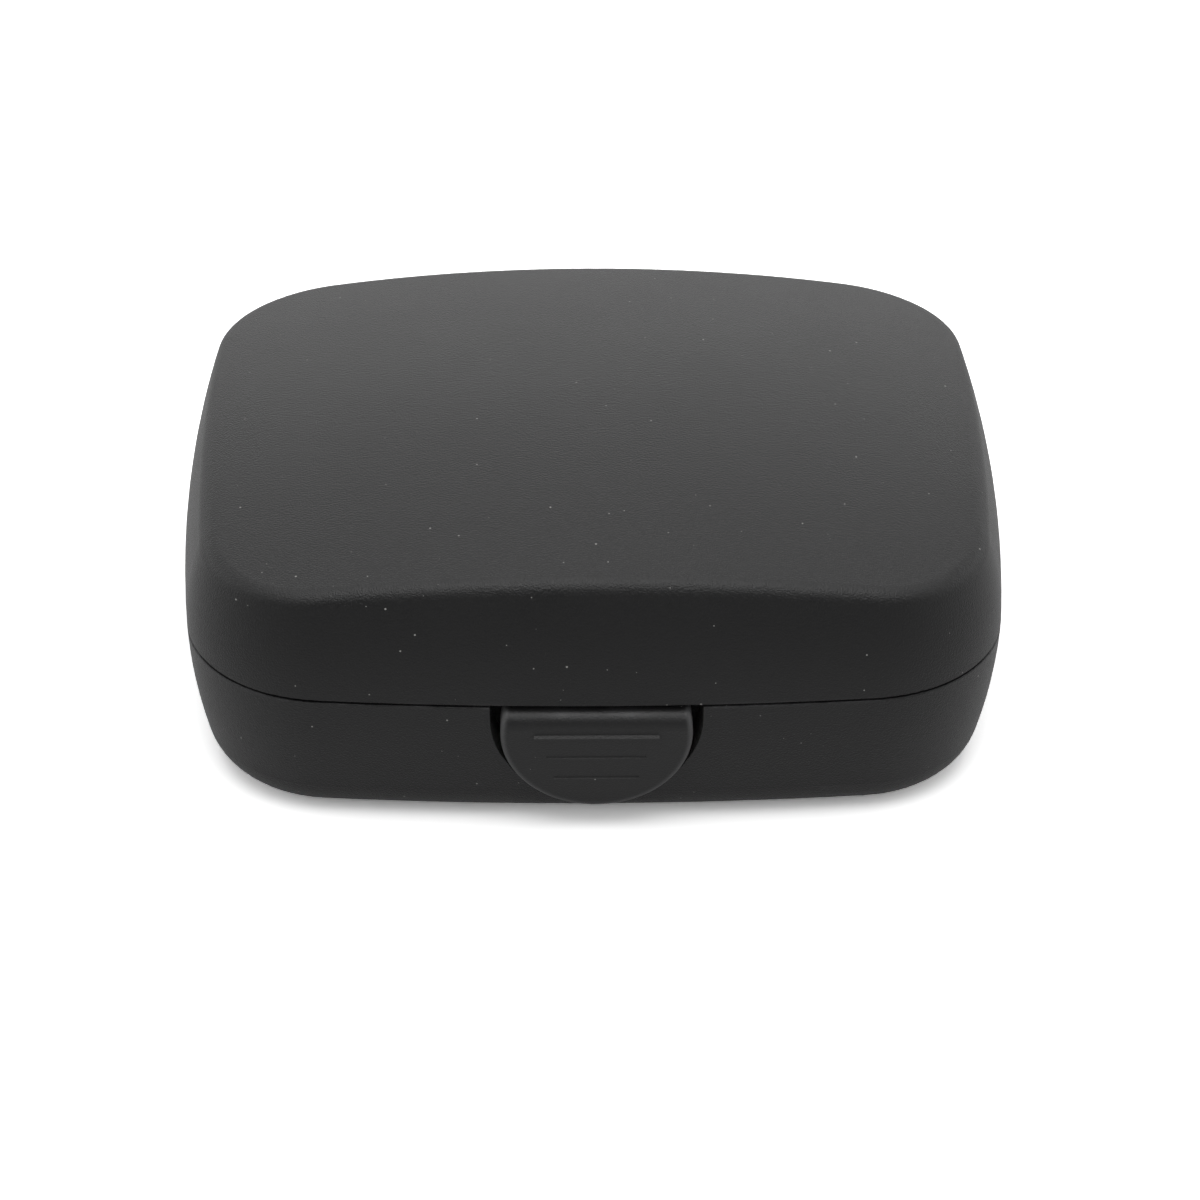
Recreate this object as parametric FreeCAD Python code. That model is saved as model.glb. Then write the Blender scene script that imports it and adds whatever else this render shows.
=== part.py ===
import FreeCAD, Part
import math
import os

from FreeCAD import Vector

# Hearing aid case: two moulded shells, hinged at the rear and held shut by a press latch.
# Millimetres. The case stands on the XY plane with the latch towards -Y and the hinge at +Y.
# The origin is the middle of the standing face.

# Outside of the closed case
case_width = 80.0
case_depth = 62.9
case_height = 30.0
split_height = 14.9
split_gap = 0.24
front_bow_radius = 316.0
side_bow_radius = 172.0
corner_radius = 14.1
base_lean = 1.8
base_wall_bow = 51.7
base_bottom_radius = 5.1
lid_wall_bow = 29.2
crown_radius_across = 202.0
crown_radius_along = 147.0
crease_radius = 2.0
rim_round = 0.12

# Wall of both shells, and the tongue that centres the lid on the base
wall = 1.8
tongue_height = 1.2
tongue_thickness = 0.7
tongue_step = 0.1
tongue_clearance = 0.2

# Lid hinge
hinge_width = 34.0
ear_width = 7.0
knuckle_radius = 1.9
knuckle_foot = 5.0
hinge_pin_radius = 0.8
hinge_pin_recess = 0.3
hinge_backing = 1.0
hinge_set_off = 0.1
running_gap = 0.25
bore_clearance = 0.04
seat_clearance = 0.01

# Latch tab in the front wall
tab_radius = 9.05
tab_centre_drop = 2.83
tab_top_drop = 0.57
tab_proud = 1.0
tab_lean = 7.0
tab_top_radius = 1.55
tab_rim_radius = 0.5
tab_lug_face_depth = 1.83
tab_foot_gap = 0.35
recess_radius = 10.03
recess_centre_drop = 1.52
rib_length = 11.8
rib_height = 0.42
rib_relief = 0.28
rib_drop = 2.43
grip_slope = 55.0
grip_root = 0.2
groove_lengths = (9.4, 8.1)
groove_spacing = 2.6
groove_height = 0.45
groove_depth = 0.12
latch_press_angle = 6.0
latch_pin_radius = 0.6
latch_pin_drop = 9.0
latch_pin_set_back = 1.2
lug_radius = 1.35
lug_width = 2.4
lug_gap = 5.6
arm_width = 8.0
arm_thickness = 1.0
arm_root_height = 4.4
hook_height = 1.3
hook_clearance = 0.15
catch_width = 9.0
catch_reach = 0.8
catch_drop = 0.6
catch_height = 0.9
catch_gap = 0.25
housing_wall = 1.3
swing_gap = 0.3

# Torsion spring on the latch pin
spring_wire_radius = 0.2
spring_coil_radius = 1.0
spring_pitch = 0.85
spring_turns = 3.0
spring_leg = 3.3
spring_half_turn = 0.5
spring_seat_gap = 0.06

# Tray with two wells and a battery pocket console
tray_drop = 0.8
tray_gap = 0.3
tray_plate = 1.6
tray_wall = 1.2
tray_seat_gap = 0.1
well_side_margin = 7.0
well_end_margin = 8.4
well_corner_radius = 9.0
well_floor_radius = 2.5
well_lip_radius = 0.6
well_lip_chamfer = 0.59
cup_foot_radius = 3.0
console_width = 16.0
pocket_radius = 4.3
pocket_depth = 5.6
pocket_pitch = 10.0
pocket_pad_thickness = 0.8

# Screws that hold the tray on the base
screw_across = 11.0
screw_inset = 2.4
screw_shank_radius = 0.8
screw_head_radius = 1.7
screw_head_height = 0.9
screw_length = 6.5
screw_slot_length = 2.4
screw_slot_width = 0.45
screw_slot_depth = 0.5
boss_radius = 2.2
screw_hole_clearance = 0.15

# Battery flap
flap_thickness = 1.2
flap_length = 19.0
flap_reach = 11.6
flap_gap = 0.25
flap_barrel_radius = 1.0
flap_pin_radius = 0.5
flap_pin_overrun = 2.4
flap_axis_across = 5.6
flap_edge_radius = 0.3
nail_notch_length = 8.0
nail_notch_width = 1.4

# Foam pads and colour markers
pad_gap = 0.4
well_pad_thickness = 2.0
pad_edge_radius = 0.6
lid_pad_inset = 2.0
lid_pad_thickness = 3.0
glue_gap = 0.05
marker_radius = 2.0
marker_height = 0.8
marker_peg_radius = 1.0
marker_clearance = 0.05
marker_set_out = 3.1

# Places that follow from the sizes above
half_width = case_width / 2
half_depth = case_depth / 2
base_rim = split_height - split_gap / 2
lid_rim = split_height + split_gap / 2
hinge_half = hinge_width / 2
lug_half = hinge_half - ear_width - running_gap
tray_top = base_rim - tray_drop
tray_under = tray_top - tray_plate
tray_bottom = wall + tray_seat_gap
well_floor = tray_bottom + tray_wall
well_inner = console_width / 2
well_outer = half_width - well_side_margin
well_end = half_depth - well_end_margin
pin_height = split_height - latch_pin_drop
tab_centre = split_height - tab_centre_drop
tab_top = lid_rim - tab_top_drop
tab_front = -half_depth - tab_proud
tab_slope = math.tan(math.radians(tab_lean))
tab_back = -half_depth + tab_lug_face_depth
pin_front = tab_back + latch_pin_set_back
lid_inner_front = -half_depth + wall
catch_tip = lid_inner_front + catch_reach
arm_front = catch_tip + catch_gap
arm_back = arm_front + arm_thickness
press_turn = math.radians(latch_press_angle)
recess_back = arm_back + latch_pin_drop * math.sin(press_turn) + swing_gap
housing_back = recess_back + housing_wall
recess_centre = split_height - recess_centre_drop
recess_foot_radius = tab_radius + tab_foot_gap
housing_radius = recess_radius + housing_wall
housing_foot_radius = recess_foot_radius + housing_wall
catch_bottom = lid_rim + catch_drop
catch_top = catch_bottom + catch_height
tongue_top = base_rim + tongue_height
tongue_inner = wall - tongue_step
tongue_outer = tongue_inner - tongue_thickness


def corner_centre():
    """Centre of the rear right corner arc, which touches the side arc and the rear arc inside."""
    rear_centre = half_depth - front_bow_radius
    side_centre = half_width - side_bow_radius
    from_rear = front_bow_radius - corner_radius
    from_side = side_bow_radius - corner_radius
    apart = math.hypot(side_centre, rear_centre)
    along = (from_rear ** 2 - from_side ** 2 + apart ** 2) / (2 * apart)
    across = math.sqrt(from_rear ** 2 - along ** 2)
    ux = side_centre / apart
    uy = -rear_centre / apart
    return ux * along + uy * across, rear_centre + uy * along - ux * across


def outline_arcs():
    """The eight arcs of the plan outline, anticlockwise: centre x, y, radius, start and end angle."""
    cx, cy = corner_centre()
    rear_centre = half_depth - front_bow_radius
    side_centre = half_width - side_bow_radius
    low = math.atan2(cy, cx - side_centre)
    high = math.atan2(cy - rear_centre, cx)
    half_turn = math.pi
    full_turn = 2 * math.pi
    return [
        (side_centre, 0, side_bow_radius, -low, low),
        (cx, cy, corner_radius, low, high),
        (0, rear_centre, front_bow_radius, high, half_turn - high),
        (-cx, cy, corner_radius, half_turn - high, half_turn - low),
        (-side_centre, 0, side_bow_radius, half_turn - low, half_turn + low),
        (-cx, -cy, corner_radius, half_turn + low, half_turn + high),
        (0, -rear_centre, front_bow_radius, half_turn + high, full_turn - high),
        (cx, -cy, corner_radius, full_turn - high, full_turn - low),
    ]


def outline_prism(inset, low, high):
    """Upright block with the plan outline drawn in by an inset."""
    edges = []
    for cx, cy, radius, start, end in outline_arcs():
        points = []
        for angle in (start, (start + end) / 2, end):
            reach = radius - inset
            points.append(Vector(cx + reach * math.cos(angle), cy + reach * math.sin(angle), low))
        edges.append(Part.Arc(*points).toShape())
    return Part.Face(Part.Wire(edges)).extrude(Vector(0, 0, high - low))


def side_profile(path, cx, cy, radius, angle):
    """Closed face of a side profile given as (inset, z), stood up at an angle round an arc's centre."""
    def place(point):
        reach = radius - point[0]
        return Vector(cx + reach * math.cos(angle), cy + reach * math.sin(angle), point[1])

    edges = []
    last = path[0]
    for step in path[1:]:
        if len(step) == 3:
            edges.append(Part.Arc(place(last), place(step[:2]), place(step[2])).toShape())
            last = step[2]
        else:
            edges.append(Part.makeLine(place(last), place(step)))
            last = step
    edges.append(Part.makeLine(place(last), place(path[0])))
    return Part.Face(Part.Wire(edges))


def shaped_block(path, low, high):
    """Solid block whose side, all round the plan outline, follows the profile from low to high.

    The path runs from the bottom edge to the top edge. An arc is (mid inset, mid z, (end inset, end z)).
    """
    insets = [p[2][0] if len(p) == 3 else p[0] for p in path]
    core = (max(insets) + corner_radius) / 2
    closed = [(core, low)] + path + [(core, high)]
    block = outline_prism(core - rim_round, low, high)
    walls = []
    for cx, cy, radius, start, end in outline_arcs():
        face = side_profile(closed, cx, cy, radius, start)
        turn = math.degrees(end - start)
        walls.append(face.revolve(Vector(cx, cy, 0), Vector(0, 0, 1), turn))
    return block.fuse(walls).removeSplitter()


def base_side(offset, top, rim):
    """Side profile of the base, offset inwards by a wall: bottom edge, bottom arc, bowed wall, rim."""
    lean = math.radians(base_lean)
    centre_in = base_wall_bow * math.cos(lean)
    centre_z = split_height + base_wall_bow * math.sin(lean)
    foot = math.asin((centre_z - base_bottom_radius) / (base_wall_bow - base_bottom_radius))
    corner_in = centre_in - (base_wall_bow - base_bottom_radius) * math.cos(foot)
    small = base_bottom_radius - offset
    large = base_wall_bow - offset

    def bottom_point(angle):
        return corner_in - small * math.cos(angle), base_bottom_radius - small * math.sin(angle)

    def wall_point(height):
        return centre_in - math.sqrt(large ** 2 - (centre_z - height) ** 2), height

    path = [bottom_point(math.pi / 2)]
    path.append((*bottom_point((foot + math.pi / 2) / 2), bottom_point(foot)))
    low = bottom_point(foot)[1]
    shoulder = top - rim
    path.append((*wall_point((low + shoulder) / 2), wall_point(shoulder)))
    if rim:
        inset = wall_point(shoulder)[0]
        path.append(rim_arc(inset, shoulder, rim))
    return path


def rim_arc(inset, shoulder, rim):
    """Quarter round that turns the wall in to the rim, upwards for a positive size, else downwards."""
    size = abs(rim)
    in_mid = inset + size * (1 - math.cos(math.pi / 4))
    return in_mid, shoulder + rim * math.sin(math.pi / 4), (inset + size, shoulder + rim)


def base_inset(height):
    """How far the base's outer wall stands in from the plan outline at a height."""
    lean = math.radians(base_lean)
    centre_z = split_height + base_wall_bow * math.sin(lean)
    return base_wall_bow * math.cos(lean) - math.sqrt(base_wall_bow ** 2 - (centre_z - height) ** 2)


def lid_inset(height):
    """How far the lid's outer wall stands in from the plan outline at a height."""
    return lid_wall_bow - math.sqrt(lid_wall_bow ** 2 - (height - split_height) ** 2)


def lid_block(offset, low):
    """The lid's outer form, or its hollow when offset inwards, from a height up to the crowned top."""
    bow = lid_wall_bow - offset

    def wall_point(height):
        return lid_wall_bow - math.sqrt(bow ** 2 - (height - split_height) ** 2), height

    high = case_height
    start = low
    path = []
    if offset == 0:
        start = low + rim_round
        edge = wall_point(start)[0]
        mid = rim_round * (1 - math.cos(math.pi / 4))
        path = [(edge + rim_round, low), (edge + mid, low + mid, wall_point(start))]
    else:
        path = [wall_point(start)]
    path.append((*wall_point((start + high) / 2), wall_point(high)))
    block = shaped_block(path, low, high).common(dome(offset))
    crease = [edge for edge in block.Edges if edge.BoundBox.ZMin > lid_rim + crease_radius]
    return block.makeFillet(crease_radius - offset, crease)


def dome(drop):
    """All that lies under the lid's crowned top, or under a surface that many millimetres below it."""
    reach = case_depth
    bow = crown_radius_along - drop
    centre_z = case_height - crown_radius_along
    edge_z = centre_z + math.sqrt(bow ** 2 - reach ** 2)
    limits = [(-reach, edge_z), (-reach, 0), (reach, 0), (reach, edge_z)]
    corners = [Vector(0, y, z) for y, z in limits]
    section = [Part.makeLine(corners[i], corners[i + 1]) for i in range(3)]
    section.append(Part.Arc(corners[3], Vector(0, 0, centre_z + bow), corners[0]).toShape())
    face = Part.Face(Part.Wire(section))
    pivot = Vector(0, 0, case_height - crown_radius_across)
    swing = math.degrees(math.asin(case_width / crown_radius_across))
    face.rotate(pivot, Vector(0, 1, 0), -swing)
    return face.revolve(pivot, Vector(0, 1, 0), 2 * swing)


def rounded_prism(x0, x1, y0, y1, radius, z0, z1):
    """Upright block with round corners in plan."""
    block = Part.makeBox(x1 - x0, y1 - y0, z1 - z0, Vector(x0, y0, z0))
    upright = [e for e in block.Edges if e.BoundBox.ZLength > (z1 - z0) / 2]
    return block.makeFillet(radius, upright)


def box(x0, x1, y0, y1, z0, z1):
    """Plain block between two corners."""
    return Part.makeBox(x1 - x0, y1 - y0, z1 - z0, Vector(x0, y0, z0))


def rod_across(radius, x0, x1, y, z):
    """Round rod along X."""
    return Part.makeCylinder(radius, x1 - x0, Vector(x0, y, z), Vector(1, 0, 0))


def rod_along(radius, y0, y1, x, z):
    """Round rod along Y."""
    return Part.makeCylinder(radius, y1 - y0, Vector(x, y0, z), Vector(0, 1, 0))


def rod_up(radius, z0, z1, x, y):
    """Upright round rod."""
    return Part.makeCylinder(radius, z1 - z0, Vector(x, y, z0))


def edges_at(shape, height):
    """The edges of a shape that lie wholly at one height."""
    near = 1e-4
    return [e for e in shape.Edges if abs(e.BoundBox.ZMin - height) < near and e.BoundBox.ZLength < near]


def hinge_axis():
    """Y of the hinge axis: just behind the rear wall where the outermost ears end."""
    end = hinge_half + running_gap
    rear_centre = half_depth - front_bow_radius
    return rear_centre + math.sqrt(front_bow_radius ** 2 - end ** 2) + hinge_set_off


def knuckle(x0, x1, side, foot_inset):
    """One knuckle of the lid hinge with the gusset that joins it to its wall, below or above the split."""
    axis = hinge_axis()
    foot_y = half_depth - foot_inset - wall / 4
    foot_z = split_height + side * knuckle_foot
    apart = math.hypot(foot_y - axis, knuckle_foot)
    to_foot = math.atan2(-knuckle_foot, foot_y - axis)
    touch = to_foot + math.acos(knuckle_radius / apart)
    touch_y = axis + knuckle_radius * math.cos(touch)
    touch_z = split_height - side * knuckle_radius * math.sin(touch)
    inner_y = half_depth - wall
    corners = [
        (axis, split_height),
        (touch_y, touch_z),
        (foot_y, foot_z),
        (foot_y - wall / 2, foot_z),
        (inner_y, split_height + side * knuckle_radius),
        (inner_y, split_height),
    ]
    points = [Vector(x0, y, z) for y, z in corners]
    gusset = Part.Face(Part.makePolygon(points + points[:1])).extrude(Vector(x1 - x0, 0, 0))
    return gusset.fuse(rod_across(knuckle_radius, x0, x1, axis, split_height))


def half_disc(radius, centre, top, y0, y1):
    """Form that seen from the front is round below its centre and straight up to the top."""
    disc = rod_along(radius, y0, y1, 0, centre)
    lower = disc.common(box(-radius, radius, y0, y1, centre - radius, centre))
    return lower.fuse(box(-radius, radius, y0, y1, centre, top)).removeSplitter()


def recess_form(grow, top, y0, y1):
    """Room for the tab, grown by a wall: wide at its sides and close under its lower edge."""
    wide = half_disc(recess_radius + grow, recess_centre, top, y0, y1)
    close = half_disc(recess_foot_radius + grow, tab_centre, top, y0, y1)
    return wide.fuse(close).removeSplitter()


def screw_places():
    """The four screw positions, in the room between the wells' rounded ends."""
    x = screw_across / 2
    y = well_end - screw_inset
    return [(-x, -y), (x, -y), (x, y), (-x, y)]


def pocket_places():
    """The two battery pockets, one behind the other on the console."""
    return [(0, -pocket_pitch / 2), (0, pocket_pitch / 2)]


def make_base_shell():
    """Lower shell: bowed wall, tongue, latch housing, hinge ears and screw bosses in one moulding."""
    outer = shaped_block(base_side(0, base_rim, rim_round), 0, base_rim)
    hollow = shaped_block(base_side(wall, case_height, 0), wall, case_height)
    shell = outer.cut(hollow)
    tongue = outline_prism(tongue_outer, base_rim - wall / 2, tongue_top)
    tongue = tongue.cut(outline_prism(tongue_inner, 0, case_height))
    shell = shell.fuse(tongue.cut(rear_zone(0, case_height)))
    inside = []
    mid_wall = shaped_block(base_side(wall / 2, base_rim, 0), wall / 2, base_rim)
    housing = recess_form(housing_wall, base_rim, -half_depth, housing_back)
    housing_foot = box(-tab_radius / 2, tab_radius / 2, -half_depth, housing_back, 0, tab_centre)
    inside.append(housing.fuse(housing_foot).common(mid_wall))
    axis = hinge_axis()
    clear_radius = knuckle_radius + running_gap
    backing_y = axis - clear_radius - hinge_backing
    backing = box(-hinge_half, hinge_half, backing_y, half_depth, base_rim - knuckle_foot, base_rim)
    inside.append(backing.common(mid_wall))
    for x, y in screw_places():
        inside.append(rod_up(boss_radius, wall / 2, tray_under, x, y))
    for x0 in (-hinge_half, hinge_half - ear_width):
        inside.append(knuckle(x0, x0 + ear_width, -1, base_inset(split_height - knuckle_foot)))
    shell = shell.fuse(inside)
    away = []
    away.append(recess_form(0, case_height, -case_depth, recess_back))
    reach = lug_half + running_gap
    away.append(rod_across(clear_radius, -reach, reach, axis, split_height))
    pin_radius = hinge_pin_radius + seat_clearance
    away.append(rod_across(pin_radius, -hinge_half, hinge_half, axis, split_height))
    latch_hole = latch_pin_radius + seat_clearance
    away.append(rod_across(latch_hole, -housing_radius, housing_radius, pin_front, pin_height))
    for x, y in screw_places():
        away.append(rod_up(screw_shank_radius + seat_clearance, tray_under - screw_length, case_height, x, y))
    return shell.cut(away).removeSplitter()


def rear_zone(low, high):
    """Room round the hinge, where the tongue is left out."""
    reach = hinge_half + hinge_backing
    return box(-reach, reach, 0, case_depth, low, high)


def make_lid_shell():
    """Upper shell: bowed wall and crowned top, with the hinge lug and the catch for the latch."""
    outer = lid_block(0, lid_rim)
    hollow = lid_block(wall, lid_rim)
    shell = outer.cut(hollow)
    axis = hinge_axis()
    clear_radius = knuckle_radius + running_gap
    backing_y = axis - clear_radius - hinge_backing
    backing = box(-hinge_half, hinge_half, backing_y, half_depth, lid_rim, lid_rim + knuckle_foot)
    shell = shell.fuse(backing.common(outer))
    groove_top = tongue_top + tongue_clearance
    groove = outline_prism(tongue_outer - tongue_clearance, lid_rim - wall, groove_top)
    groove = groove.cut(outline_prism(wall + tongue_clearance, 0, case_height))
    shell = shell.cut(groove.cut(rear_zone(0, case_height)))
    half_catch = catch_width / 2
    lead = catch_height / 2
    profile = [
        Vector(-half_catch, -half_depth + tongue_outer / 2, catch_bottom),
        Vector(-half_catch, catch_tip - lead, catch_bottom),
        Vector(-half_catch, catch_tip, catch_bottom + lead),
        Vector(-half_catch, catch_tip, catch_top),
        Vector(-half_catch, -half_depth + tongue_outer / 2, catch_top),
    ]
    catch = Part.Face(Part.makePolygon(profile + profile[:1])).extrude(Vector(catch_width, 0, 0))
    lug = knuckle(-lug_half, lug_half, 1, lid_inset(split_height + knuckle_foot))
    shell = shell.fuse([catch, lug])
    away = []
    ear_outer = hinge_half + running_gap
    for x0, x1 in ((-ear_outer, -lug_half), (lug_half, ear_outer)):
        away.append(rod_across(clear_radius, x0, x1, axis, split_height))
    bore = hinge_pin_radius + bore_clearance
    away.append(rod_across(bore, -hinge_half, hinge_half, axis, split_height))
    return shell.cut(away).removeSplitter()


def make_hinge_pin():
    """Steel pin through both ears and the lid's lug."""
    end = hinge_half - hinge_pin_recess
    pin = rod_across(hinge_pin_radius, -end, end, hinge_axis(), split_height)
    return pin.makeChamfer(hinge_pin_radius / 4, [e for e in pin.Edges if e.BoundBox.XLength < wall])


def make_latch_tab():
    """Press tab: leaning round face with a rib and two grooves, lugs for its pin, and the hook's arm."""
    plate = tab_plate()
    rib_z = tab_top - rib_drop
    for index, length in enumerate(groove_lengths):
        z = rib_z - (index + 1) * groove_spacing
        plate = plate.cut(face_bar(length, groove_section(), z))
    added = [face_bar(rib_length, rib_section(), rib_z)]
    for side in (-1, 1):
        x = side * (lug_gap + lug_width) / 2
        added.append(tab_lug(x - lug_width / 2, x + lug_width / 2))
    half_arm = arm_width / 2
    added.append(box(-half_arm, half_arm, tab_back, arm_back, tab_top - arm_root_height, tab_top))
    added.append(hook_arm(half_arm))
    tab = plate.fuse(added)
    bore = latch_pin_radius + bore_clearance
    return tab.cut(rod_across(bore, -tab_radius, tab_radius, pin_front, pin_height)).removeSplitter()


def face_y(height):
    """Y of the tab's face, which leans back towards its lower edge, at a height."""
    return tab_front + (tab_top - height) * tab_slope


def edges_on_face(shape):
    """The edges of a shape that lie on the tab's face."""
    edges = []
    for edge in shape.Edges:
        apart = [abs(point.y - face_y(point.z)) for point in edge.discretize(5)]
        if max(apart) < seat_clearance:
            edges.append(edge)
    return edges


def tab_plate():
    """The tab's plate: a disc with a flat top, its face leaning and its rim rounded."""
    bottom = tab_centre - tab_radius
    corners = [(tab_back, bottom), (tab_back, tab_top), (face_y(tab_top), tab_top), (face_y(bottom), bottom)]
    points = [Vector(-tab_radius, y, z) for y, z in corners]
    wedge = Part.Face(Part.makePolygon(points + points[:1])).extrude(Vector(2 * tab_radius, 0, 0))
    top_front = [e for e in edges_on_face(wedge) if e.BoundBox.ZMin > tab_centre]
    wedge = wedge.makeFillet(tab_top_radius, top_front)
    plate = wedge.common(rod_along(tab_radius, -case_depth, 0, 0, tab_centre))
    rim = []
    for edge in plate.Edges:
        off = [abs(math.hypot(point.x, point.z - tab_centre) - tab_radius) for point in edge.discretize(5)]
        if max(off) < seat_clearance and edge.BoundBox.YMin < tab_back - seat_clearance:
            rim.append(edge)
    return plate.makeFillet(tab_rim_radius, rim)


def rib_section():
    """Section of the raised rib as (out, up) from the face: sloped on top, square below."""
    half = rib_height / 2
    fall = rib_relief / math.tan(math.radians(grip_slope))
    return [(-grip_root, half), (0, half), (rib_relief, half - fall), (rib_relief, -half), (-grip_root, -half)]


def groove_section():
    """Section of a groove's cut as (out, up) from the face: square on top, sloped below."""
    half = groove_height / 2
    rise = 1 / math.tan(math.radians(grip_slope))
    foot = (-groove_depth, groove_depth * rise - half)
    lip = (grip_root, -half - grip_root * rise)
    return [(grip_root, half), (-groove_depth, half), foot, lip]


def face_bar(length, section, z):
    """Bar across the tab's face with a section, at a height."""
    points = [Vector(-length / 2, -out, up) for out, up in section]
    bar = Part.Face(Part.makePolygon(points + points[:1])).extrude(Vector(length, 0, 0))
    bar.rotate(Vector(0, 0, 0), Vector(1, 0, 0), tab_lean)
    bar.translate(Vector(0, face_y(z), z))
    return bar


def tab_lug(x0, x1):
    """Ear on the back of the tab that turns on the latch pin."""
    block = box(x0, x1, tab_back, pin_front, pin_height - lug_radius, pin_height + lug_radius)
    return block.fuse(rod_across(lug_radius, x0, x1, pin_front, pin_height))


def hook_arm(half_arm):
    """Arm that rises behind the catch, with a hook that leans over it and a sloped lead-in on top."""
    hook_bottom = catch_top + hook_clearance
    hook_tip = lid_inner_front + tongue_clearance
    corners = [
        (arm_back, tab_top - arm_thickness),
        (arm_back, hook_bottom + hook_height),
        (arm_front, hook_bottom + hook_height),
        (hook_tip, hook_bottom + hook_height / 3),
        (hook_tip, hook_bottom),
        (arm_front, hook_bottom),
        (arm_front, tab_top - arm_thickness),
    ]
    points = [Vector(-half_arm, y, z) for y, z in corners]
    return Part.Face(Part.makePolygon(points + points[:1])).extrude(Vector(2 * half_arm, 0, 0))


def make_latch_pin():
    """Steel pin that carries the tab, pressed into the two cheeks of the latch housing."""
    rise = tab_centre - pin_height
    end = math.sqrt(housing_foot_radius ** 2 - rise ** 2) - wall / 4
    return rod_across(latch_pin_radius, -end, end, pin_front, pin_height)


def spring_point(turn):
    """Point and direction on the coil after a number of turns."""
    angle = math.pi + 2 * math.pi * turn
    x = spring_pitch * (turn - spring_turns / 2)
    y = pin_front + spring_coil_radius * math.cos(angle)
    z = pin_height + spring_coil_radius * math.sin(angle)
    speed = 2 * math.pi * spring_coil_radius
    way = Vector(spring_pitch, -speed * math.sin(angle), speed * math.cos(angle))
    return Vector(x, y, z), way.normalize()


def tangent_arc(start, corner, end):
    """Arc from start to end whose end tangents meet at the corner point."""
    middle = (start + end) * 0.5
    half_turn = math.atan2((corner - middle).Length, (end - start).Length / 2)
    top = middle + (corner - middle) * (math.tan(half_turn / 2) / math.tan(half_turn))
    return Part.Arc(start, top, end).toShape()


def biarc(start, start_way, end, end_way):
    """Two arcs that join two points smoothly in their given directions."""
    across = end - start
    both = start_way + end_way
    square = 2 * (start_way.dot(end_way) - 1)
    linear = -2 * across.dot(both)
    steady = across.dot(across)
    reach = (-linear - math.sqrt(linear ** 2 - 4 * square * steady)) / (2 * square)
    reach = abs(reach)
    first = start + start_way * reach
    second = end - end_way * reach
    joint = (first + second) * 0.5
    return [tangent_arc(start, first, joint), tangent_arc(joint, second, end)]


def make_latch_spring():
    """Torsion spring: one leg behind the tab, the coil round the pin, one leg on the housing's back."""
    room = recess_back - spring_seat_gap - spring_wire_radius - pin_front - spring_coil_radius
    lean = math.asin(room / spring_leg)
    turns = spring_turns + spring_half_turn - lean / (2 * math.pi)
    steps = 4 * math.ceil(turns)
    places = [spring_point(turns * i / steps) for i in range(steps + 1)]
    first, first_way = places[0]
    last, last_way = places[-1]
    edges = [Part.makeLine(first - first_way * spring_leg, first)]
    for (start, start_way), (end, end_way) in zip(places, places[1:]):
        edges += biarc(start, start_way, end, end_way)
    edges.append(Part.makeLine(last, last + last_way * spring_leg))
    path = Part.Wire(edges)
    ring = Part.Wire(Part.makeCircle(spring_wire_radius, edges[0].Vertexes[0].Point, first_way))
    spring = path.makePipeShell([ring], True, False)
    gap = spring_pitch * math.cos(math.atan2(spring_pitch, 2 * math.pi * spring_coil_radius))
    print("latch spring: least gap between turns", round(gap - 2 * spring_wire_radius, 3))
    whole = math.pi * spring_wire_radius ** 2 * path.Length
    print("latch spring: volume against section times length", round(spring.Volume / whole, 4))
    return spring


def make_tray():
    """Inner tray: a plate that closes the base, two hanging wells and the battery console."""
    plate_inset = wall + base_inset(tray_under) + tray_gap
    tray = outline_prism(plate_inset, tray_under, tray_top)
    solid = []
    hollow = []
    for side in (-1, 1):
        solid.append(well_cup(side))
        hollow.append(well_hollow(side))
    seat = tray_top - flap_thickness - flap_gap - tray_wall
    end = flap_length / 2 + flap_pin_overrun + tray_wall
    solid.append(box(-well_inner, well_inner, -end, end, seat, tray_top))
    pocket_floor = tray_top - flap_thickness - flap_gap - pocket_depth
    for x, y in pocket_places():
        solid.append(rod_up(pocket_radius + tray_wall, pocket_floor - tray_wall, tray_top, x, y))
        hollow.append(rod_up(pocket_radius, pocket_floor, case_height, x, y))
    tray = tray.fuse(solid)
    hollow += flap_seat()
    for x, y in screw_places():
        shank = screw_shank_radius + screw_hole_clearance
        head = screw_head_radius + screw_hole_clearance
        hollow.append(rod_up(shank, 0, case_height, x, y))
        hollow.append(rod_up(head, tray_top - screw_head_height, case_height, x, y))
    for side in (-1, 1):
        x, y = marker_place(side)
        hollow.append(rod_up(marker_peg_radius + marker_clearance, 0, case_height, x, y))
        seat_radius = marker_radius + marker_clearance
        hollow.append(rod_up(seat_radius, tray_top - marker_height, case_height, x, y))
    latch_room = housing_radius + tray_gap
    hollow.append(box(-latch_room, latch_room, -case_depth, housing_back + tray_gap, 0, case_height))
    backing_y = hinge_axis() - knuckle_radius - running_gap - hinge_backing - tray_gap
    hinge_room = hinge_half + tray_gap
    hollow.append(box(-hinge_room, hinge_room, backing_y, case_depth, 0, case_height))
    return tray.cut(hollow).removeSplitter()


def well_sides(side, grow):
    """Plan limits of one well, grown by a wall or drawn in by a clearance."""
    low = well_inner - grow
    high = well_outer + grow
    if side < 0:
        low, high = -high, -low
    return low, high, -well_end - grow, well_end + grow, well_corner_radius + grow


def well_cup(side):
    """Outside of one well, with a rounded foot that follows the base's bottom arc."""
    cup = rounded_prism(*well_sides(side, tray_wall), tray_bottom, tray_top)
    return cup.makeFillet(cup_foot_radius, edges_at(cup, tray_bottom))


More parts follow.
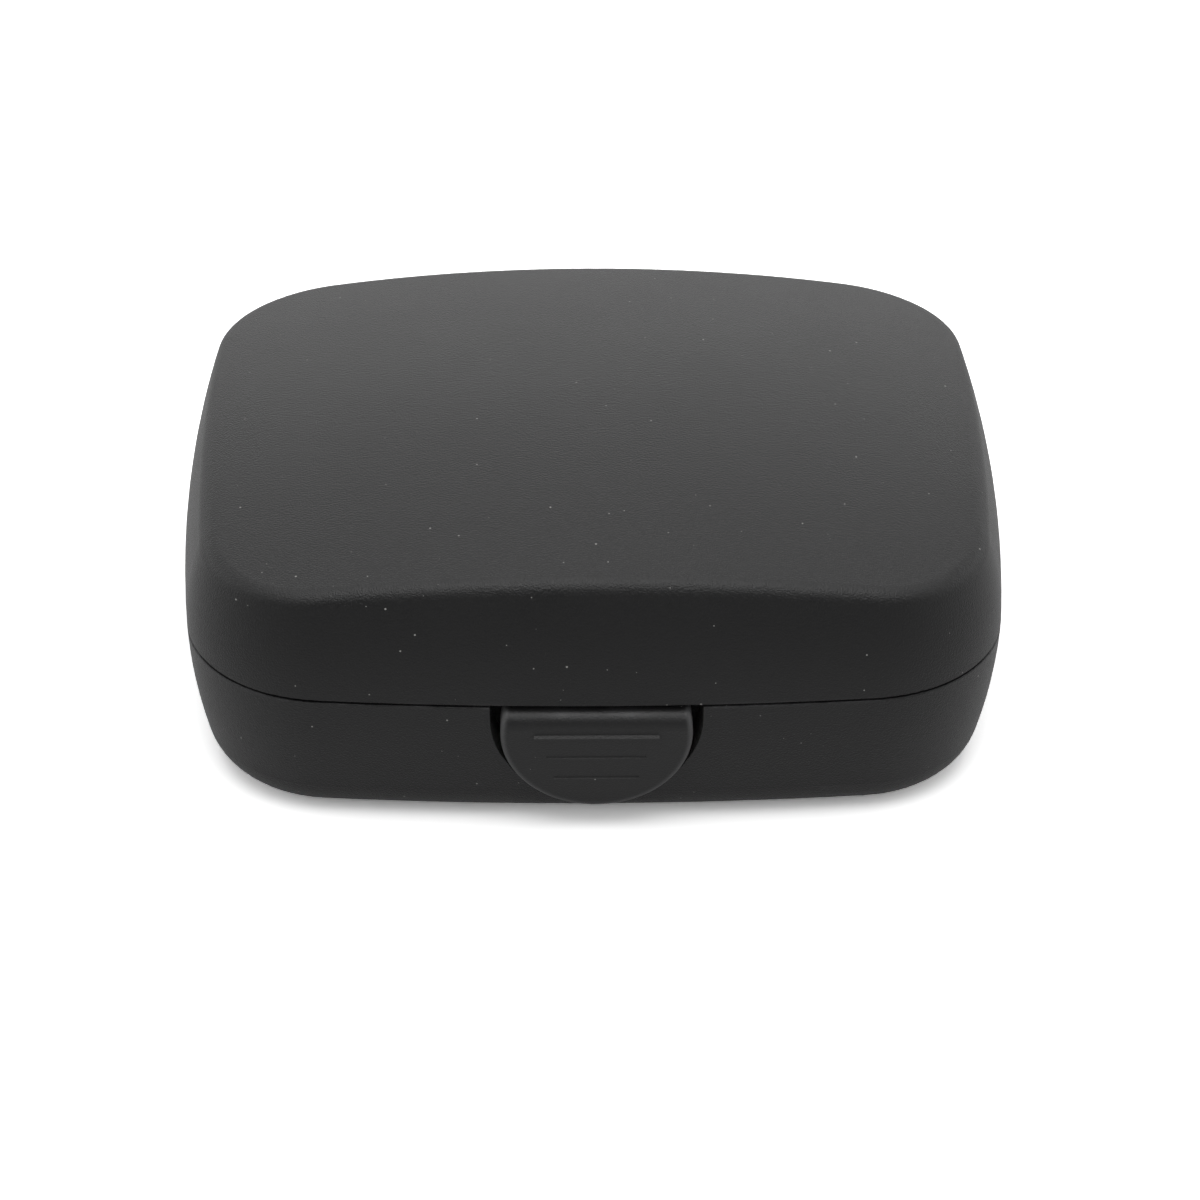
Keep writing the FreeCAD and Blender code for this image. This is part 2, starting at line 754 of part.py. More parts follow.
def well_hollow(side):
    """Inside of one well, round at the floor, with a softened lip at the top."""
    well = rounded_prism(*well_sides(side, 0), well_floor, tray_top)
    well = well.makeFillet(well_floor_radius, edges_at(well, well_floor))
    lip = rounded_prism(*well_sides(side, well_lip_radius), tray_top - well_lip_radius, tray_top)
    lip = lip.makeChamfer(well_lip_chamfer, edges_at(lip, tray_top - well_lip_radius))
    return well.fuse(lip)


def flap_axis_height():
    """Height of the battery flap's axis, with its barrel flush with the tray's top."""
    return tray_top - flap_barrel_radius


def flap_seat():
    """Cuts for the battery flap: its recess, the groove for its barrel, the nail notch and the pin hole."""
    floor = tray_top - flap_thickness - flap_gap
    half = flap_length / 2 + flap_gap
    edge = flap_reach - flap_axis_across + flap_gap
    axis_z = flap_axis_height()
    groove = flap_barrel_radius + flap_gap
    pin_end = flap_length / 2 + flap_pin_overrun
    half_notch = nail_notch_length / 2
    return [
        box(-flap_axis_across, edge, -half, half, floor, case_height),
        rod_along(groove, -half, half, -flap_axis_across, axis_z),
        box(-flap_axis_across - groove, -flap_axis_across, -half, half, axis_z, case_height),
        box(0, edge + nail_notch_width, -half_notch, half_notch, floor, case_height),
        rod_along(flap_pin_radius + seat_clearance, -pin_end, pin_end, -flap_axis_across, axis_z),
    ]


def make_battery_flap():
    """Cover over the battery pockets, hinged on the left, with a lip for a fingernail."""
    half = flap_length / 2
    edge = flap_reach - flap_axis_across
    plate = box(-flap_axis_across, edge, -half, half, tray_top - flap_thickness, tray_top)
    free = [e for e in plate.Edges if e.BoundBox.XMin > edge - flap_edge_radius]
    plate = plate.makeFillet(flap_edge_radius, free)
    barrel = rod_along(flap_barrel_radius, -half, half, -flap_axis_across, flap_axis_height())
    bore = flap_pin_radius + bore_clearance
    hole = rod_along(bore, -case_depth, case_depth, -flap_axis_across, flap_axis_height())
    return plate.fuse(barrel).cut(hole).removeSplitter()


def make_flap_pin():
    """Thin steel pin of the battery flap."""
    end = flap_length / 2 + flap_pin_overrun
    return rod_along(flap_pin_radius, -end, end, -flap_axis_across, flap_axis_height())


def make_tray_screws():
    """Four cross-slotted screws, as separate solids."""
    screws = []
    for x, y in screw_places():
        top = tray_top
        under = top - screw_head_height
        shank_end = tray_under - screw_length + wall
        head = rod_up(screw_head_radius, under, top, x, y)
        rim = head.makeFillet(screw_head_height / 4, edges_at(head, top))
        screw = rim.fuse(rod_up(screw_shank_radius, shank_end, under, x, y))
        half = screw_slot_width / 2
        span = screw_slot_length / 2
        slot_floor = top - screw_slot_depth
        screw = screw.cut(box(x - span, x + span, y - half, y + half, slot_floor, case_height))
        screw = screw.cut(box(x - half, x + half, y - span, y + span, slot_floor, case_height))
        screws.append(screw)
    return Part.makeCompound(screws)


def make_well_pad(side):
    """Foam pad on one well's floor."""
    top = well_floor + well_pad_thickness
    pad = rounded_prism(*well_sides(side, -well_floor_radius), well_floor + glue_gap, top)
    return pad.makeFillet(pad_edge_radius, edges_at(pad, top))


def make_pocket_pads():
    """Two foam discs under the spare batteries."""
    floor = tray_top - flap_thickness - flap_gap - pocket_depth
    discs = []
    for x, y in pocket_places():
        discs.append(rod_up(pocket_radius - pad_gap, floor + glue_gap, floor + pocket_pad_thickness, x, y))
    return Part.makeCompound(discs)


def make_lid_pad(side):
    """Foam pad glued under the lid's crown, above one well."""
    pad = rounded_prism(*well_sides(side, -lid_pad_inset), split_height, case_height)
    top = wall + glue_gap
    return pad.common(dome(top)).cut(dome(top + lid_pad_thickness))


def marker_place(side):
    """Place of a colour marker, on the tray's front strip before its well."""
    return side * (well_inner + well_outer) / 2, -well_end - marker_set_out


def make_marker(side):
    """Colour marker for left or right: a disc with a peg pressed into the tray."""
    x, y = marker_place(side)
    head = rod_up(marker_radius, tray_top - marker_height + seat_clearance, tray_top, x, y)
    head = head.makeFillet(marker_height / 4, edges_at(head, tray_top))
    peg = rod_up(marker_peg_radius, tray_under, tray_top - marker_height / 2, x, y)
    return head.fuse(peg).removeSplitter()


def save(name, shape):
    """Write one node, and say how many solids it holds and whether they are sound."""
    shape.exportStep(os.path.join("parts", name + ".step"))
    print(name, "solids", len(shape.Solids), "valid", shape.isValid(), "volume", round(shape.Volume, 2))


os.makedirs("parts", exist_ok=True)
save("base_shell", make_base_shell())
save("tray", make_tray())
save("tray_screws", make_tray_screws())
save("left_well_pad", make_well_pad(-1))
save("right_well_pad", make_well_pad(1))
save("pocket_pads", make_pocket_pads())
save("left_marker", make_marker(-1))
save("right_marker", make_marker(1))
save("hinge_pin", make_hinge_pin())
save("latch_pin", make_latch_pin())
save("latch_spring", make_latch_spring())
save("flap_pin", make_flap_pin())
save("lid_shell", make_lid_shell())
save("left_lid_pad", make_lid_pad(-1))
save("right_lid_pad", make_lid_pad(1))
save("latch_tab", make_latch_tab())
save("battery_flap", make_battery_flap())
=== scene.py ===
import math

import bpy
from mathutils import Matrix, Vector


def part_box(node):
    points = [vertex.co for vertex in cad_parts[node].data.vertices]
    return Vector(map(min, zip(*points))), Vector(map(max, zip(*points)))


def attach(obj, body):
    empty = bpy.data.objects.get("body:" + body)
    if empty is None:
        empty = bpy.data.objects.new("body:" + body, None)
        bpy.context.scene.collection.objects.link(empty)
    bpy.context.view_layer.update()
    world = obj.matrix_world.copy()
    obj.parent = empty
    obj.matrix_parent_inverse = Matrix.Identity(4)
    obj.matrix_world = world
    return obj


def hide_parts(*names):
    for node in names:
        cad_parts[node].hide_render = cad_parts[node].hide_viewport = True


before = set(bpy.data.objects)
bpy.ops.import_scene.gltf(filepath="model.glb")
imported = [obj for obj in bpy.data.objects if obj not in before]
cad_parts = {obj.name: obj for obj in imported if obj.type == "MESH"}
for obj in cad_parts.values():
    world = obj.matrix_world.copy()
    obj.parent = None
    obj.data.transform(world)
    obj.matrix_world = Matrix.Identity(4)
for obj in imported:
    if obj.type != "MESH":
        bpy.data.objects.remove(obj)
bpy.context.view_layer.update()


# Camera: a long lens on a stand in front of the case, looking down on it by about 35 degrees.
# Its place comes from fitting the case's outline to the photograph's 1200 by 1200 frame.
view_down = math.radians(34.86)
view_turn = math.radians(1.15)
view_roll = math.radians(0.42)
view_distance = 0.44585
view_right = 0.00086
view_up = -0.00797
view_middle = 0.015
lens_in_pixels = 4491.58
frame_in_pixels = 1200
sensor_width = 36.0
clip_start = 0.01

away = Vector((view_right, -view_distance * math.cos(view_down) + view_up * math.sin(view_down),
               view_middle + view_distance * math.sin(view_down) + view_up * math.cos(view_down)))
turn = Matrix.Rotation(-view_turn, 4, "Z")
tilt = Matrix.Rotation(math.radians(90) - view_down, 4, "X") @ Matrix.Rotation(view_roll, 4, "Z")
lens = bpy.data.cameras.new("camera")
lens.sensor_width = sensor_width
lens.lens = lens_in_pixels / frame_in_pixels * sensor_width
lens.clip_start = clip_start
camera = bpy.data.objects.new("camera", lens)
camera.matrix_world = turn @ Matrix.Translation(away) @ tilt
bpy.context.scene.collection.objects.link(camera)
bpy.context.scene.camera = camera
bpy.context.scene.view_settings.view_transform = "Standard"


# Floor: a pale table under a white card that the case stands on, lit to white, with the case's soft
# shadow on it. The camera sees it all at full white, while the case mirrors card and table as they are lit.
floor_size = 4.0
floor_gap = 0.00002
table_colour = (0.38, 0.38, 0.38)
card_colour = (0.5, 0.5, 0.5)
card_back = 0.04
card_flatness = 1.25
card_edge = 0.082
card_fade = 0.014
floor_seen_colour = (1.7, 1.7, 1.7)


def new_material(name):
    """An empty node material with its output."""
    material = bpy.data.materials.new(name)
    material.use_nodes = True
    material.node_tree.nodes.clear()
    output = material.node_tree.nodes.new("ShaderNodeOutputMaterial")
    return material, material.node_tree.nodes, material.node_tree.links, output


def feed(links, value, socket):
    """Give a socket its value: a link from another socket, a number, or a colour of three."""
    if isinstance(value, bpy.types.NodeSocket):
        links.new(value, socket)
    elif isinstance(value, (tuple, list)) and len(value) < len(socket.default_value):
        socket.default_value = (*value, 1)
    else:
        socket.default_value = value


def ranged(nodes, links, value, source=(0.0, 1.0), target=(0.0, 1.0), smooth=False):
    """A value moved from its source range to its target range, in a straight line or eased."""
    node = nodes.new("ShaderNodeMapRange")
    if smooth:
        node.interpolation_type = "SMOOTHSTEP"
    for title, given in zip(("Value", "From Min", "From Max", "To Min", "To Max"), (value, *source, *target)):
        feed(links, given, node.inputs[title])
    return node.outputs["Result"]


def mixed(nodes, links, mask, first, second):
    """A colour that goes from the first to the second with a mask. Each is a colour or a socket."""
    mix = nodes.new("ShaderNodeMix")
    mix.data_type = "RGBA"
    links.new(mask, mix.inputs["Factor"])
    feed(links, first, mix.inputs["A"])
    feed(links, second, mix.inputs["B"])
    return mix.outputs["Result"]


def radius_of(nodes, links, centre, scale):
    """The distance from a centre in Object coordinates, each direction scaled."""
    place = nodes.new("ShaderNodeTexCoord")
    centred = nodes.new("ShaderNodeMapping")
    centred.inputs["Location"].default_value = [-c for c in centre]
    centred.inputs["Scale"].default_value = scale
    links.new(place.outputs["Object"], centred.inputs["Vector"])
    length = nodes.new("ShaderNodeVectorMath")
    length.operation = "LENGTH"
    links.new(centred.outputs["Vector"], length.inputs[0])
    return length.outputs["Value"]


def camera_sees(nodes, links, hidden, shown, output):
    """Show the camera one shader, and every other ray the hidden one."""
    rays = nodes.new("ShaderNodeLightPath")
    choose = nodes.new("ShaderNodeMixShader")
    links.new(rays.outputs["Is Camera Ray"], choose.inputs["Fac"])
    links.new(hidden, choose.inputs[1])
    links.new(shown, choose.inputs[2])
    links.new(choose.outputs["Shader"], output.inputs["Surface"])


bpy.ops.object.select_all(action="DESELECT")
bpy.ops.mesh.primitive_plane_add(size=floor_size, location=(0, 0, -floor_gap))
floor = bpy.context.object
floor.name = "floor"
white_sheet, nodes, links, output = new_material("white_sheet")
off_card = ranged(nodes, links, radius_of(nodes, links, (0, card_back, 0), (1 / card_flatness, 1, 1)),
                  (card_edge, card_edge + card_fade), smooth=True)
lit = nodes.new("ShaderNodeBsdfDiffuse")
links.new(mixed(nodes, links, off_card, card_colour, table_colour), lit.inputs["Color"])
seen = nodes.new("ShaderNodeBsdfDiffuse")
seen.inputs["Color"].default_value = (*floor_seen_colour, 1)
camera_sees(nodes, links, lit.outputs["BSDF"], seen.outputs["BSDF"], output)
floor.data.materials.append(white_sheet)


# Light: a white tent, bright overhead and behind and dim towards the camera, and one large soft panel
# above and a little in front of the case. The camera sees the tent as plain white.
tent_colour = (0.8, 0.8, 0.8)
tent_seen_colour = (1.0, 1.0, 1.0)
tent_bright = 0.85
tent_lean = 0.9
tent_rise = (-0.45, 0.65)
tent_low_back = 1.9
tent_low_back_reach = (0.55, 1.0)
tent_front_mirrored = 0.12
tent_front_lit = 1.2
side_gap_height = 0.77
side_gap_half = 0.26
side_gap_depth = 0.8
side_gap_reach = (0.25, 0.5)
side_bright = 2.0
side_bright_reach = (0.6, 0.85)
panel_size = 0.8
panel_height = 0.9
panel_front = 0.16
panel_power = 4.0


def calculate(nodes, links, operation, *values):
    """A math node fed by sockets or numbers."""
    node = nodes.new("ShaderNodeMath")
    node.operation = operation
    for slot, value in zip(node.inputs, values):
        feed(links, value, slot)
    return node.outputs["Value"]


world = bpy.data.worlds.new("tent")
bpy.context.scene.world = world
world.use_nodes = True
nodes, links = world.node_tree.nodes, world.node_tree.links
nodes.clear()
output = nodes.new("ShaderNodeOutputWorld")
way = nodes.new("ShaderNodeTexCoord")
apart = nodes.new("ShaderNodeSeparateXYZ")
links.new(way.outputs["Generated"], apart.inputs["Vector"])
rays = nodes.new("ShaderNodeLightPath")
front = calculate(nodes, links, "MULTIPLY_ADD", rays.outputs["Is Glossy Ray"],
                  tent_front_mirrored - tent_front_lit, tent_front_lit)
lean = calculate(nodes, links, "MULTIPLY_ADD", apart.outputs["Z"], tent_lean, apart.outputs["Y"])
level = ranged(nodes, links, lean, tent_rise, (front, tent_bright), smooth=True)
low_back = ranged(nodes, links, apart.outputs["Y"], tent_low_back_reach, (1.0, tent_low_back))
level = calculate(nodes, links, "MULTIPLY", level, low_back)
aside = calculate(nodes, links, "ABSOLUTE", apart.outputs["X"])
side_panel = ranged(nodes, links, aside, side_bright_reach, (1.0, side_bright), smooth=True)
level = calculate(nodes, links, "MULTIPLY", level, side_panel)
off_gap = calculate(nodes, links, "SUBTRACT", apart.outputs["Z"], side_gap_height)
off_gap = calculate(nodes, links, "ABSOLUTE", off_gap)
near_gap = ranged(nodes, links, off_gap, (0.0, side_gap_half), (side_gap_depth, 0.0), smooth=True)
gap = calculate(nodes, links, "MULTIPLY", near_gap, ranged(nodes, links, aside, side_gap_reach, smooth=True))
level = calculate(nodes, links, "MULTIPLY", level, calculate(nodes, links, "SUBTRACT", 1.0, gap))
sky = nodes.new("ShaderNodeBackground")
sky.inputs["Color"].default_value = (*tent_colour, 1)
links.new(level, sky.inputs["Strength"])
backdrop = nodes.new("ShaderNodeBackground")
backdrop.inputs["Color"].default_value = (*tent_seen_colour, 1)
camera_sees(nodes, links, sky.outputs["Background"], backdrop.outputs["Background"], output)

panel = bpy.data.lights.new("panel", "AREA")
panel.shape = "SQUARE"
panel.size = panel_size
panel.energy = panel_power
panel_holder = bpy.data.objects.new("panel", panel)
panel_holder.matrix_world = (Matrix.Translation((0, -panel_front, panel_height))
                             @ Matrix.Rotation(math.atan2(panel_front, panel_height), 4, "X"))
bpy.context.scene.collection.objects.link(panel_holder)


# Case shells: upper and lower half, injection moulded in black plastic. The mould is spark-eroded,
# which leaves a fine, even, matte grain, and a few specks of dust lie on it.
shell_colour = (0.0085, 0.0085, 0.0088)
shell_grain = 0.00016
shell_grain_depth = 0.00017
shell_gloss = (0.32, 0.4)
shell_rim = 0.0149
shell_rim_reach = 0.0004
shell_speck = 0.0001
worn_colour = (0.03, 0.03, 0.031)
dust_colour = (0.24, 0.237, 0.228)
dust_unevenness = 1.5
crater_detail = 2.0
crater_roughness = 0.55
broad_scale = 90.0
broad_detail = 3.0
wear_scale = 220.0
wear_detail = 4.0
wear_patches = (0.45, 0.65)
plastic_ior = 1.48
plastic_sheen = 0.05
plastic_sheen_roughness = 0.3
plastic_bump = 0.5
tint_range = (0.2, 0.8)
tint_shares = (0.95, 1.05)
rubbed_gloss = -0.08


def new_group(name, inputs, outputs):
    """A shader node group with inputs that each have a value, and outputs."""
    group = bpy.data.node_groups.new(name, "ShaderNodeTree")
    for title, value in inputs.items():
        socket = group.interface.new_socket(title, in_out="INPUT", socket_type="NodeSocketFloat")
        socket.default_value = value
    for title in outputs:
        group.interface.new_socket(title, in_out="OUTPUT", socket_type="NodeSocketFloat")
    start = group.nodes.new("NodeGroupInput")
    end = group.nodes.new("NodeGroupOutput")
    return group, group.nodes, group.links, start, end


def use_group(nodes, group, **values):
    """A node group placed in a material with its own values."""
    node = nodes.new("ShaderNodeGroup")
    node.node_tree = group
    for title, value in values.items():
        node.inputs[title.replace("_", " ").title()].default_value = value
    return node


def noise(nodes, links, place, scale, detail, roughness=0.5):
    """A noise over coordinates. Its scale is a number or a socket."""
    texture = nodes.new("ShaderNodeTexNoise")
    texture.inputs["Detail"].default_value = detail
    texture.inputs["Roughness"].default_value = roughness
    links.new(place, texture.inputs["Vector"])
    feed(links, scale, texture.inputs["Scale"])
    return texture.outputs["Fac"]


# Spark-eroded grain: small shallow craters of uneven size, with a little unevenness over a few millimetres.
spark_grain, nodes, links, start, end = new_group("spark_grain", {"Grain Size": 0.0002}, ("Height", "Unevenness"))
place = nodes.new("ShaderNodeTexCoord").outputs["Object"]
per_metre = calculate(nodes, links, "DIVIDE", 1.0, start.outputs["Grain Size"])
links.new(noise(nodes, links, place, per_metre, crater_detail, crater_roughness), end.inputs["Height"])
links.new(noise(nodes, links, place, broad_scale, broad_detail), end.inputs["Unevenness"])

# Dust: tiny pale specks of uneven size, a few to the square centimetre.
dust, nodes, links, start, end = new_group("dust", {"Spacing": 0.0014, "Speck Size": 0.0001}, ("Mask",))
cells = nodes.new("ShaderNodeTexVoronoi")
links.new(nodes.new("ShaderNodeTexCoord").outputs["Object"], cells.inputs["Vector"])
links.new(calculate(nodes, links, "DIVIDE", 1.0, start.outputs["Spacing"]), cells.inputs["Scale"])
apart = nodes.new("ShaderNodeSeparateColor")
links.new(cells.outputs["Color"], apart.inputs["Color"])
share = calculate(nodes, links, "POWER", apart.outputs["Red"], dust_unevenness)
size = calculate(nodes, links, "DIVIDE", start.outputs["Speck Size"], start.outputs["Spacing"])
size = calculate(nodes, links, "MULTIPLY", size, share)
links.new(calculate(nodes, links, "LESS_THAN", cells.outputs["Distance"], size), end.inputs["Mask"])

# Edge wear: the grain rubs smooth and a little paler along a rim, in patches.
rim_wear, nodes, links, start, end = new_group("rim_wear", {"Rim Height": 0.0149, "Reach": 0.0004}, ("Mask",))
place = nodes.new("ShaderNodeTexCoord").outputs["Object"]
apart = nodes.new("ShaderNodeSeparateXYZ")
links.new(place, apart.inputs["Vector"])
off = calculate(nodes, links, "SUBTRACT", apart.outputs["Z"], start.outputs["Rim Height"])
off = calculate(nodes, links, "DIVIDE", calculate(nodes, links, "ABSOLUTE", off), start.outputs["Reach"])
near = calculate(nodes, links, "SUBTRACT", 1.0, calculate(nodes, links, "MINIMUM", off, 1.0))
patches = ranged(nodes, links, noise(nodes, links, place, wear_scale, wear_detail), wear_patches)
links.new(calculate(nodes, links, "MULTIPLY", near, patches), end.inputs["Mask"])


def bumped(nodes, links, height, strength, depth, shader):
    """Give a shader the normals of a height."""
    bump = nodes.new("ShaderNodeBump")
    bump.inputs["Strength"].default_value = strength
    bump.inputs["Distance"].default_value = depth
    links.new(height, bump.inputs["Height"])
    links.new(bump.outputs["Normal"], shader.inputs["Normal"])


def shaded(colour, shares):
    """Two shades of a colour."""
    return [[channel * share for channel in colour] for share in shares]


def moulded_plastic(name, colour, worn, grain, depth, gloss, rim, reach, speck):
    """Moulded plastic with spark-eroded grain, worn smoother and a little paler at its rim, with specks of dust.
    """
    material, nodes, links, output = new_material(name)
    plastic = nodes.new("ShaderNodeBsdfPrincipled")
    plastic.inputs["IOR"].default_value = plastic_ior
    plastic.inputs["Sheen Weight"].default_value = plastic_sheen
    plastic.inputs["Sheen Roughness"].default_value = plastic_sheen_roughness
    grained = use_group(nodes, spark_grain, grain_size=grain)
    wear = use_group(nodes, rim_wear, rim_height=rim, reach=reach).outputs["Mask"]
    specks = use_group(nodes, dust, speck_size=speck).outputs["Mask"]
    shade = ranged(nodes, links, grained.outputs["Unevenness"], tint_range)
    tint = mixed(nodes, links, shade, *shaded(colour, tint_shares))
    tint = mixed(nodes, links, wear, tint, worn)
    links.new(mixed(nodes, links, specks, tint, dust_colour), plastic.inputs["Base Color"])
    bumped(nodes, links, grained.outputs["Height"], plastic_bump, depth, plastic)
    rough = ranged(nodes, links, grained.outputs["Unevenness"], target=gloss)
    rough = calculate(nodes, links, "MULTIPLY_ADD", wear, rubbed_gloss, rough)
    links.new(rough, plastic.inputs["Roughness"])
    links.new(plastic.outputs["BSDF"], output.inputs["Surface"])
    return material


def finish(material, *names):
    """Give CAD nodes their material."""
    for name in names:
        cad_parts[name].data.materials.clear()
        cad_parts[name].data.materials.append(material)


shell_plastic = moulded_plastic("shell_plastic", shell_colour, worn_colour, shell_grain, shell_grain_depth,
                                shell_gloss, shell_rim, shell_rim_reach, shell_speck)
finish(shell_plastic, "base_shell", "lid_shell")


# Latch tab: a separate moulding in the same plastic. The round edge of its disc is painted paler as a painted
# highlight, the floor's reflection in that edge, in a narrow band that is measured from the disc's centre.
tab_colour = (0.012, 0.012, 0.0123)
tab_grain = 0.00016
tab_grain_depth = 0.0001
tab_gloss = (0.38, 0.46)
tab_top = 0.0142
tab_top_reach = 0.0004
tab_speck = 0.00008
disc_centre = 0.01207
disc_radius = 0.00905
rim_highlight_width = 0.0007
rim_highlight_colour = (0.065, 0.065, 0.066)

latch_plastic = moulded_plastic("latch_plastic", tab_colour, worn_colour, tab_grain, tab_grain_depth,
                                tab_gloss, tab_top, tab_top_reach, tab_speck)
nodes, links = latch_plastic.node_tree.nodes, latch_plastic.node_tree.links
plastic = nodes["Principled BSDF"]
# Painted highlight: a paler band along the disc's round edge, painted in place of the floor's reflection in it.
painted_rim_highlight = ranged(nodes, links, radius_of(nodes, links, (0, 0, disc_centre), (1, 0, 1)),
                (disc_radius - rim_highlight_width, disc_radius), smooth=True)
face_colour = plastic.inputs["Base Color"].links[0].from_socket
links.new(mixed(nodes, links, painted_rim_highlight, face_colour, rim_highlight_colour), plastic.inputs["Base Color"])
finish(latch_plastic, "latch_tab")


# Tray and battery flap: one dark grey moulding each, satin, from a polished mould with a fine blast.
# The chamfered lips of the wells are rubbed a little paler.
tray_colour = (0.055, 0.057, 0.06)
tray_worn_colour = (0.11, 0.113, 0.118)
tray_grain = 0.00012
tray_grain_depth = 0.00004
tray_gloss = (0.34, 0.37)
tray_lip = 0.01372
tray_lip_reach = 0.00022
tray_speck = 0.00006

tray_plastic = moulded_plastic("tray_plastic", tray_colour, tray_worn_colour, tray_grain, tray_grain_depth,
                               tray_gloss, tray_lip, tray_lip_reach, tray_speck)
finish(tray_plastic, "tray", "battery_flap")


# Steel pins, latch spring and screws: bright drawn wire and rod, with fine draw lines along the length,
# and machined screw heads.
steel_colour = (0.56, 0.57, 0.58)
steel_dull_colour = (0.4, 0.405, 0.41)
steel_gloss = (0.2, 0.42)
steel_bump = 0.4
steel_line_depth = 0.000008
steel_line_detail = 3.0
lines_along = 300
lines_across = 9000
lines_turned = 5000


def drawn_steel(name, stretch):
    """Bright steel with fine lines, stretched along the direction that it was drawn or turned."""
    material, nodes, links, output = new_material(name)
    steel = nodes.new("ShaderNodeBsdfPrincipled")
    steel.inputs["Metallic"].default_value = 1.0
    along = nodes.new("ShaderNodeMapping")
    along.inputs["Scale"].default_value = stretch
    links.new(nodes.new("ShaderNodeTexCoord").outputs["Object"], along.inputs["Vector"])
    lines = noise(nodes, links, along.outputs["Vector"], 1.0, steel_line_detail)
    links.new(mixed(nodes, links, lines, steel_dull_colour, steel_colour), steel.inputs["Base Color"])
    links.new(ranged(nodes, links, lines, target=steel_gloss), steel.inputs["Roughness"])
    bumped(nodes, links, lines, steel_bump, steel_line_depth, steel)
    links.new(steel.outputs["BSDF"], output.inputs["Surface"])
    return material


finish(drawn_steel("steel_across", (lines_along, lines_across, lines_across)), "hinge_pin", "latch_pin")
finish(drawn_steel("steel_along", (lines_across, lines_along, lines_across)), "flap_pin")
finish(drawn_steel("steel_even", (lines_turned, lines_turned, lines_turned)), "latch_spring", "tray_screws")


# Side markers: blue for the left aid and red for the right, glossy discs pressed into the tray.
# They come from a polished mould, so only their tint and gloss vary a little.
marker_colours = {"left_marker": (0.02, 0.09, 0.42), "right_marker": (0.5, 0.02, 0.02)}
marker_coat = 0.3
marker_coat_roughness = 0.08
marker_grain = 0.0003
marker_shares = (0.85, 1.15)
marker_gloss = (0.16, 0.26)

for name, colour in marker_colours.items():
    material, nodes, links, output = new_material(name + "_gloss")
    glossy = nodes.new("ShaderNodeBsdfPrincipled")
    glossy.inputs["Coat Weight"].default_value = marker_coat
    glossy.inputs["Coat Roughness"].default_value = marker_coat_roughness
    uneven = use_group(nodes, spark_grain, grain_size=marker_grain).outputs["Unevenness"]
    links.new(mixed(nodes, links, uneven, *shaded(colour, marker_shares)), glossy.inputs["Base Color"])
    links.new(ranged(nodes, links, uneven, target=marker_gloss), glossy.inputs["Roughness"])
    links.new(glossy.outputs["BSDF"], output.inputs["Surface"])
    finish(material, name)


# Foam pads: die-cut charcoal foam, glued on the wells' floors and under the crown, and small discs in the
# battery pockets. A cut pad has a slightly crowned face, soft edges and open cells all over, whose pits carry
# painted shade.
foam_colour = (0.035, 0.035, 0.037)
foam_pit_shade_colour = (0.008, 0.008, 0.009)
foam_sheen = 0.25
foam_sheen_roughness = 0.5
foam_cell = 0.00028
foam_pits = (0.15, 0.6)
foam_gloss = (1.0, 0.8)
foam_bump = 0.6
foam_cell_depth = 0.00008
foam_voxel = 0.0004
foam_weld = 0.000001
edge_softening = 0.5
edge_rounds = 6
crown_power = 4
dent_spacing = 0.004
dent_depth = 0.00012
dent_level = 0.6
well_crown = 0.0004
lid_crown = 0.0006

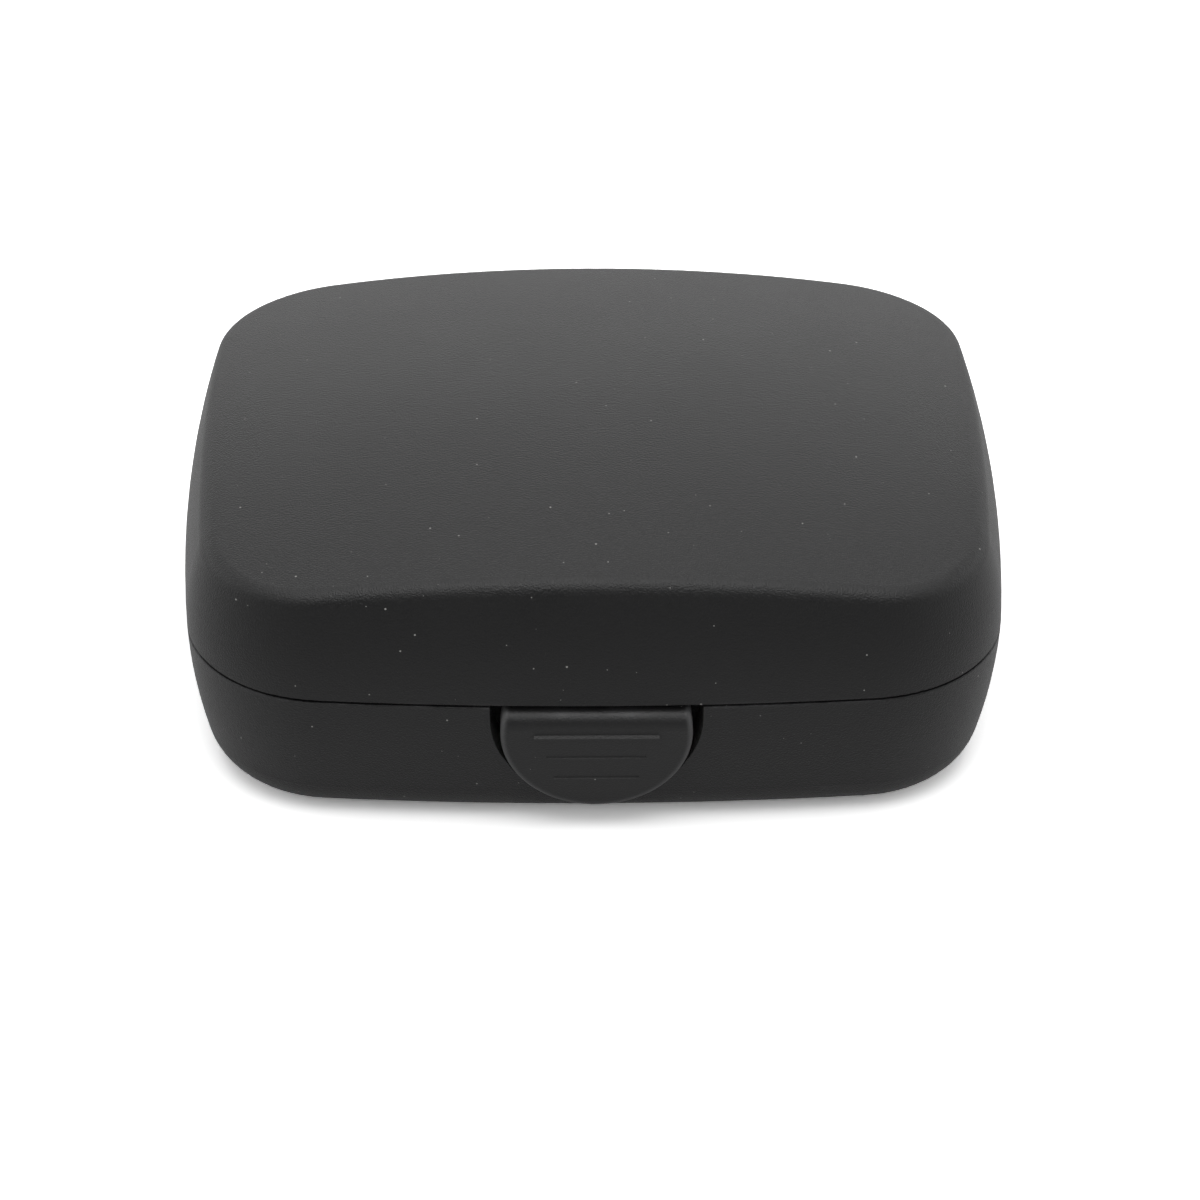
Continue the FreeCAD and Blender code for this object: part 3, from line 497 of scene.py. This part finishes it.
foam, nodes, links, output = new_material("charcoal_foam")
soft = nodes.new("ShaderNodeBsdfPrincipled")
soft.inputs["Sheen Weight"].default_value = foam_sheen
soft.inputs["Sheen Roughness"].default_value = foam_sheen_roughness
cells = nodes.new("ShaderNodeTexVoronoi")
cells.inputs["Scale"].default_value = 1 / foam_cell
links.new(nodes.new("ShaderNodeTexCoord").outputs["Object"], cells.inputs["Vector"])
pits = ranged(nodes, links, cells.outputs["Distance"], foam_pits, smooth=True)
# Painted shade: the pits of the open cells are painted darker, for the shade that falls in them.
links.new(mixed(nodes, links, pits, foam_pit_shade_colour, foam_colour), soft.inputs["Base Color"])
links.new(ranged(nodes, links, pits, target=foam_gloss), soft.inputs["Roughness"])
bumped(nodes, links, pits, foam_bump, foam_cell_depth, soft)
links.new(soft.outputs["BSDF"], output.inputs["Surface"])


def apply_modifier(piece, kind, **settings):
    """Add a modifier to the piece and apply it."""
    modifier = piece.modifiers.new(kind.lower(), kind)
    for key, value in settings.items():
        setattr(modifier, key, value)
    bpy.ops.object.modifier_apply(modifier=modifier.name)


def foam_pad(node, body, crown, face):
    """A foam pad in place of its plain solid. Its face looks up (1) or down (-1) and is crowned."""
    low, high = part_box(node)
    bpy.ops.object.select_all(action="DESELECT")
    pad = bpy.data.objects.new(node + "_foam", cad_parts[node].data.copy())
    bpy.context.scene.collection.objects.link(pad)
    bpy.context.view_layer.objects.active = pad
    pad.select_set(True)
    bpy.ops.object.mode_set(mode="EDIT")
    bpy.ops.mesh.select_all(action="SELECT")
    bpy.ops.mesh.remove_doubles(threshold=foam_weld)
    bpy.ops.mesh.normals_make_consistent(inside=False)
    bpy.ops.object.mode_set(mode="OBJECT")
    apply_modifier(pad, "REMESH", mode="VOXEL", voxel_size=foam_voxel)
    apply_modifier(pad, "SMOOTH", factor=edge_softening, iterations=edge_rounds)
    middle = (low + high) / 2
    half = (high - low) / 2
    for vertex in pad.data.vertices:
        out = max(abs(vertex.co.x - middle.x) / half.x, abs(vertex.co.y - middle.y) / half.y)
        faced = max(0.0, face * (vertex.co.z - middle.z) / half.z)
        vertex.co.z -= face * crown * min(1.0, faced) * out ** crown_power
    dents = bpy.data.textures.new(node + "_dents", "CLOUDS")
    dents.noise_scale = dent_spacing
    apply_modifier(pad, "DISPLACE", texture=dents, texture_coords="LOCAL", strength=dent_depth,
                   mid_level=dent_level)
    apply_modifier(pad, "SUBSURF", levels=1, render_levels=1)
    bpy.ops.object.shade_smooth()
    pad.data.materials.clear()
    pad.data.materials.append(foam)
    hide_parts(node)
    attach(pad, body)


foam_pad("left_well_pad", "base", well_crown, 1)
foam_pad("right_well_pad", "base", well_crown, 1)
foam_pad("left_lid_pad", "lid", lid_crown, -1)
foam_pad("right_lid_pad", "lid", lid_crown, -1)
foam_pad("pocket_pads", "base", 0.0, 1)
